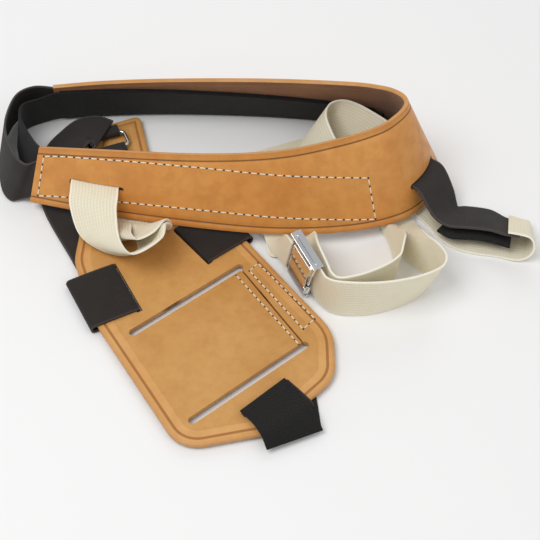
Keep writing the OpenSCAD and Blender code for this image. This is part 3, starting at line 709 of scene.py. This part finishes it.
def roundedOutline(corners, inward=0, count=8):
    # the same number of points at every inward distance, so that rings can follow each other
    points = []
    total = len(corners)
    for i, (x, y, r) in enumerate(corners):
        q = Vector((x, y))
        u = (Vector(corners[i - 1][:2]) - q).normalized()
        v = (Vector(corners[(i + 1) % total][:2]) - q).normalized()
        half = math.acos(u.dot(v)) / 2
        hollow = (-u).cross(v) * plate["turnSense"] < 0
        q += (u + v).normalized() * (-inward if hollow else inward) / math.sin(half)
        r = r + inward if hollow else max(r - inward, 0.6)
        c = q + (u + v).normalized() * r / math.sin(half)
        a, b = q + u * r / math.tan(half) - c, q + v * r / math.tan(half) - c
        a0 = math.atan2(a.y, a.x)
        turn = (math.atan2(b.y, b.x) - a0 + 3 * math.pi) % (2 * math.pi) - math.pi
        points += [c + r * Vector((math.cos(a0 + turn * k / count), math.sin(a0 + turn * k / count)))
                   for k in range(count + 1)]
    return points


def thinned(points, room=1.6):
    kept = [0]
    for i, point in enumerate(points):
        if (point - points[kept[-1]]).length > room and (point - points[0]).length > room:
            kept.append(i)
    return kept


def makeSheet(name, points, low, thick, materials, roundOff=0.25):
    bpy.ops.object.select_all(action="DESELECT")
    bpy.ops.mesh.primitive_circle_add(vertices=len(points), radius=1, fill_type="NGON")
    piece = bpy.context.object
    piece.name = name
    for v, p in zip(piece.data.vertices, points):
        v.co = ((p[0] + toMiddle.x) * mm, (p[1] + toMiddle.y) * mm, (low + thick / 2) * mm)
    piece.data.update()
    if piece.data.polygons[0].normal.z < 0:
        piece.data.flip_normals()
    for material in materials:
        piece.data.materials.append(material)
    solid = piece.modifiers.new("wall", "SOLIDIFY")
    solid.thickness, solid.offset = thick * mm, 0
    if len(materials) > 1:
        solid.material_offset, solid.material_offset_rim = 1, 2
    if roundOff:
        bevel = piece.modifiers.new("edge", "BEVEL")
        bevel.width, bevel.segments = roundOff * thick * mm, 3
        bevel.limit_method, bevel.angle_limit = "ANGLE", math.radians(60)
    applyAll(piece)
    return piece


def nextRing(piece, sense, start, end, height):
    # extrudes the flat face on one side in place, then sets its rim to the next ring
    mesh = piece.data
    chosen = max((f for f in mesh.polygons if f.normal.z * sense > 0.9), key=lambda f: f.area).index
    onlyThis(piece)
    bpy.ops.object.mode_set(mode="EDIT")
    bpy.ops.mesh.select_mode(type="FACE")
    bpy.ops.mesh.select_all(action="DESELECT")
    bpy.ops.object.mode_set(mode="OBJECT")
    piece.data.polygons[chosen].select = True
    bpy.ops.object.mode_set(mode="EDIT")
    bpy.ops.mesh.extrude_region_move(TRANSFORM_OT_translate={"value": (0, 0, 0)})
    bpy.ops.object.mode_set(mode="OBJECT")
    mesh = piece.data
    face = [f for f in mesh.polygons if f.select][0]
    for k in face.vertices:
        v = mesh.vertices[k]
        flat = Vector((v.co.x / mm - toMiddle.x, v.co.y / mm - toMiddle.y))
        i = min(range(len(start)), key=lambda n: (start[n] - flat).length_squared)
        v.co = ((end[i].x + toMiddle.x) * mm, (end[i].y + toMiddle.y) * mm, height * mm)
    mesh.update()


def pressRings(piece, corners, kept, low, high):
    # eases both rims and presses the crease into the grain side
    deep, inset = plate["creaseDeep"], plate["creaseIn"]
    def ring(inward):
        points = roundedOutline(corners, inward)
        return [points[i] for i in kept]
    before = ring(0)
    steps = ((0, high - 0.9), (0.25, high - 0.3), (0.9, high), (inset - 0.9, high), (inset - 0.35, high - deep),
             (inset + 0.35, high - deep), (inset + 0.9, high), (12, high))
    mesh = piece.data
    for v in mesh.vertices:
        if v.co.z > (low + high) / 2 * mm:
            v.co.z = steps[0][1] * mm
        else:
            v.co.z = (low + 0.5) * mm
    mesh.update()
    for inward, height in steps[1:]:
        after = ring(inward)
        nextRing(piece, 1, before, after, height)
        before = after
    nextRing(piece, -1, ring(0), ring(0.5), low)


def edgeUv(piece, outline):
    layer = piece.data.uv_layers.active or piece.data.uv_layers.new(name="UVMap")
    closed = [((p[0] + toMiddle.x) * mm, (p[1] + toMiddle.y) * mm) for p in outline]
    spans = {}
    for v in piece.data.vertices:
        best = 1
        for i, a in enumerate(closed):
            b = closed[i - 1]
            dx, dy = b[0] - a[0], b[1] - a[1]
            long = dx * dx + dy * dy
            t = 0 if long == 0 else min(1, max(0, ((v.co.x - a[0]) * dx + (v.co.y - a[1]) * dy) / long))
            best = min(best, math.hypot(v.co.x - a[0] - dx * t, v.co.y - a[1] - dy * t))
        spans[v.index] = best
    for loop in piece.data.loops:
        v = piece.data.vertices[loop.vertex_index].co
        layer.data[loop.index].uv = (v.x, spans[loop.vertex_index])


def gapOutline(a, b, width, room=12):
    a, b = Vector(a), Vector(b)
    d = (b - a).normalized()
    s = Vector((-d.y, d.x)) * width / 2
    ends = []
    for centre, start in ((b, -math.pi / 2), (a, math.pi / 2)):
        for k in range(room + 1):
            turn = start + math.pi * k / room
            ends.append(centre + d * math.cos(turn) * width / 2 + s * math.sin(turn))
    return ends


def cutShape(piece, points):
    cutter = makeSheet("cutter", points, plateZ - 5, plateT + 10, [], 0)
    cutAway(piece, cutter)


def keeperSlotOutline(k):
    turn, w, long = math.radians(k[2]), plate["keeperSlot"] / 2, k[3] + plate["slotRoom"]
    corners = [(-w, 0), (w, 0), (w, long), (-w, long)]
    return [(k[0] + x * math.cos(turn) - y * math.sin(turn), k[1] + x * math.sin(turn) + y * math.cos(turn))
            for x, y in corners]


def makePlate():
    outline = roundedOutline(plate["corners"])
    kept = thinned(outline)
    outline = [outline[i] for i in kept]
    piece = makeSheet("carrierPlate", outline, plateZ, plateT, [plateGrain, plateFlesh, yokeEdge], 0)
    pressRings(piece, plate["corners"], kept, plateZ, plateTop)
    edgeUv(piece, outline)
    cutShape(piece, [plate["near"], plate["freeNear"], plate["freeFar"], plate["far"]])
    gaps = [gapOutline(plate["far"], plate["freeFar"], plate["slotW"]),
            gapOutline(plate["near"], plate["freeNear"], plate["slotW"]),
            gapOutline(plate["freeFar"], plate["freeNear"], plate["cutW"])]
    for gap in gaps + [keeperSlotOutline(plate[k]) for k in ("left", "upper", "lower")]:
        cutShape(piece, gap)
    shadeSoft(piece, 35)
    keep(piece, "harness", ["carrier_plate"])
    tongue = makeSheet("beltTongue", [plate["near"], plate["freeNear"], plate["freeFar"], plate["far"]], plateZ, plateT,
                       [plateGrain, plateFlesh, yokeEdge], 0)
    for gap in gaps:
        cutShape(tongue, gap)
    onlyThis(tongue)
    bpy.ops.object.mode_set(mode="EDIT")
    near, far = Vector(plate["near"] + (0,)) + toMiddle, Vector(plate["far"] + (0,)) + toMiddle
    root = (far - near).normalized()
    out = Vector((-root.y, root.x, 0))
    if out.dot(Vector(plate["freeFar"] + (0,)) + toMiddle - far) < 0:
        out = -out
    for k in range(1, plate["bendCuts"] + 1):
        bpy.ops.mesh.select_all(action="SELECT")
        bpy.ops.mesh.bisect(plane_co=(near + out * plate["bendStep"] * k) * mm, plane_no=out)
    bpy.ops.object.mode_set(mode="OBJECT")
    eased = tongue.data.attributes.new("bevel_weight_edge", "FLOAT", "EDGE")
    flatEdges = {}
    for face in tongue.data.polygons:
        for key in face.edge_keys:
            flatEdges.setdefault(key, []).append(face.normal.copy())
    for edge in tongue.data.edges:
        normals = flatEdges[tuple(sorted(edge.vertices))]
        atRoot = all(abs((tongue.data.vertices[k].co / mm - near).dot(out)) < 0.05 for k in edge.vertices)
        eased.data[edge.index].value = 1 if len(normals) == 2 and normals[0].dot(normals[1]) < 0.5 and not atRoot else 0
    bevel = tongue.modifiers.new("edge", "BEVEL")
    bevel.width, bevel.segments, bevel.limit_method = plate["tongueEase"] * mm, 2, "WEIGHT"
    applyAll(tongue)
    edgeUv(tongue, outline)
    shadeSoft(tongue, 35)
    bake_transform(tongue)
    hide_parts("belt_tongue")
    strip = makeSheet("tongueHookStrip", [(-43, -21), (-29.5, -10), (18, -78), (3, -88)], plateZ - 1.2, 1.15, [blackLoop])
    keep(strip, "tongue", ["tongue_hook_strip"])
    strip = makeSheet("marginLoopStrip", [(-16, -6), (-9.5, 2), (34, -54), (25, -64)], plateZ - 1.2, 1.15, [blackLoop])
    keep(strip, "harness", ["margin_loop_strip"])


def sewPlate():
    def seam(*points):
        return [(Vector((x, y, plateTop)), Vector((0, 0, 1))) for x, y in points]
    edgeSeam = [seam((-26.5, -10.5), (21.5, -78.5))]
    sewLine("tongueStitches", edgeSeam, creamThread, "tongue", 5.6, 4.5, 1.1, 1)
    paintHoleShade("tongueHoleShade", edgeSeam, "tongue", 5.6, 1.3)
    box = [(-9.5, 2), (-16, -6), (25, -64), (34, -54)]
    sides = [seam(box[i], box[(i + 1) % 4]) for i in range(4)]
    sewLine("marginStitches", sides, creamThread, "harness", 5.6, 4.5, 1.1, 1)
    paintHoleShade("marginHoleShade", sides, "harness", 5.6, 1.3)


makePlate()
sewPlate()
print("plate done")


# keeper straps round the plate's edge

def turned(k, x, y, z):
    turn = math.radians(k[2])
    return [k[0] + x * math.cos(turn) - y * math.sin(turn), k[1] + x * math.sin(turn) + y * math.cos(turn), z]


def makeKeeper(name, k, node, bulge=0.35):
    low, high, half = keeperT / 2, keeperTop - keeperT / 2, keeperTop / 2
    bend = half - keeperT / 2
    path = [(0, half), (0, high - 1), (0.6, high - 0.15), (3, high)]
    path += [(3 + (k[4] - bend - 3 - keeperT / 2) * s, high + bulge * math.sin(math.pi * s))
             for s in (0.2, 0.4, 0.6, 0.8, 1)]
    centre = k[4] - bend - keeperT / 2
    path += [(centre + bend * math.sin(math.pi * s), half + bend * math.cos(math.pi * s))
             for s in (0.15, 0.3, 0.5, 0.7, 0.85, 1)]
    path += [(centre * s, low) for s in (0.75, 0.5, 0.25)]
    path += [(1.5, low + 0.1), (0, low + 0.9), (0, half - 0.2)]
    a, b = plate["slotRoom"] / 2, plate["slotRoom"] / 2 + k[3]
    rails = [turned(k, x, a, z) + turned(k, x, b, z) for x, z in path]
    piece = layStrip(name, smoothLine(rails, 3), keeperT, evenColumns, [keeperElastic] * 3, 46)
    keep(piece, "harness", [node])


# its edge tone is lighter: partly selvedge yarn, partly painted edge highlight
keeperElastic = elastic("keeperElastic",
    {"light": "#2d231f", "mid": "#201915", "deep": "#120e0c", "edge": "#3f3531"}, 46, 0.95, 2.2, 0.2, 1.4)
makeKeeper("keeperLeft", plate["left"], "keeper_left")
makeKeeper("keeperUpper", plate["upper"], "keeper_upper")
makeKeeper("keeperLower", plate["lower"], "keeper_lower")
tabZ = keeperTop + layerGap + keeperT / 2
tab = {"line": [[-21.5, -140.2, tabZ, 31, 28, 0], [-12.2, -150.5, tabZ, 31.5, 25.5, 0],
                [-6.5, -160.5, tabZ + 0.4, 34, 22, 0],
                [-4.4, -165, tabZ - 1.2, 36, 18.5, -0.6], [-2.2, -169.7, tabZ - 4.8, 37.5, 15.5, 0]],
       "run": [(-5, -128), (33, -117), (36.5, -149), (-1, -160)]}
tabRails = smoothLine(edges(tab["line"], 43), 8)
lowerTab = layStrip("keeperLowerTab", tabRails, keeperT, evenColumns, [blackLoop] * 3, 43)
keep(lowerTab, "keeper_tab", ["keeper_lower_tab"])
start, end, endFar, startFar = [[x, y, keeperT / 2] for x, y in tab["run"]]
lowerRun = layStrip("keeperLowerRun", smoothLine([startFar + start, endFar + end], 8), keeperT, evenColumns,
                    [keeperElastic] * 3, 46)
keep(lowerRun, "harness", [])
print("keepers done")


# ring, its anchor strap, and the hanger strap

ring = {"at": (-136.5, 130, plateTop + layerGap + 1.2 + runGap + 1.5), "turn": 22, "rise": 5,
        "wire": 3, "inL": 30, "inW": 13, "anchorT": 1.2}


def wrapBar(name, place, wide, run, upperRun, body, node):
    r = ring["wire"] / 2 + runGap + ring["anchorT"] / 2
    path = [(-run, -r), (-run / 2, -r)]
    path += [(r * math.sin(math.pi * k / 12), -r * math.cos(math.pi * k / 12)) for k in range(13)]
    path += [(-upperRun / 2, r), (-upperRun, r)]
    rails = [list(place @ Vector((wide / 2, y, z))) + list(place @ Vector((-wide / 2, y, z))) for y, z in path]
    piece = layStrip(name, rails, ring["anchorT"], evenColumns, [greyElastic] * 3, greyW)
    keep(piece, body, [node])


def makeRing():
    base = Matrix.Translation(ring["at"]) @ Matrix.Rotation(math.radians(ring["turn"]), 4, "Z")
    wrapBar("ringAnchor", base, ring["inL"] - 4, 16, 9, "harness", "ring_anchor")
    tilt = base @ Matrix.Rotation(math.radians(ring["rise"]), 4, "X")
    far = tilt @ Matrix.Translation((3, ring["inW"] + ring["wire"], 0)) @ Matrix.Rotation(math.pi, 4, "Z")
    wrapBar("hangerLoop", far, ring["inL"] - 10, 7, 7, "ring", "hanger_loop")


hangerLine = edges([
    [-150, -6, 1.12, 34, 17, 0], [-160, 13, 1.12, 36, 16, 0], [-187, 64, 1.15, 38, 12, 0],
    [-197, 104, 2, 40, 0, 1.6], [-193, 134, 5, 38, -9, 10], [-182, 150, 9, 33, -20, 8],
    [-168, 161, ring["at"][2] + 4.6, 18, -33, 3], [-151, 164, ring["at"][2] + 6.4, 2, -38, 1],
    [-136, 158, ring["at"][2] + 6.4, -13, -34, 0]
], greyW)
makeRing()
hanger = layStrap("hangerStrap", smoothLine(hangerLine, 10), "grey", ["hanger_strap"], body=None)
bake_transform(hanger)
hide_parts("hanger_strap")
print("ring and hanger done")


# chrome parts keep the imported shape; their edges are eased, except the ring's

for node in ("adjuster_frame", "adjuster_lever", "adjuster_pin", "adjuster_bar", "hanger_ring"):
    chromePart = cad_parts[node]
    chromePart.data.materials.clear()
    chromePart.data.materials.append(polished)
    weld = chromePart.modifiers.new("weld", "WELD")
    weld.merge_threshold = 0.00001
    if node == "hanger_ring":
        continue
    ease = chromePart.modifiers.new("ease", "BEVEL")
    ease.width, ease.segments, ease.limit_method, ease.angle_limit = 0.3 * mm, 2, "ANGLE", math.radians(40)
print("chrome dressed")

setStage()
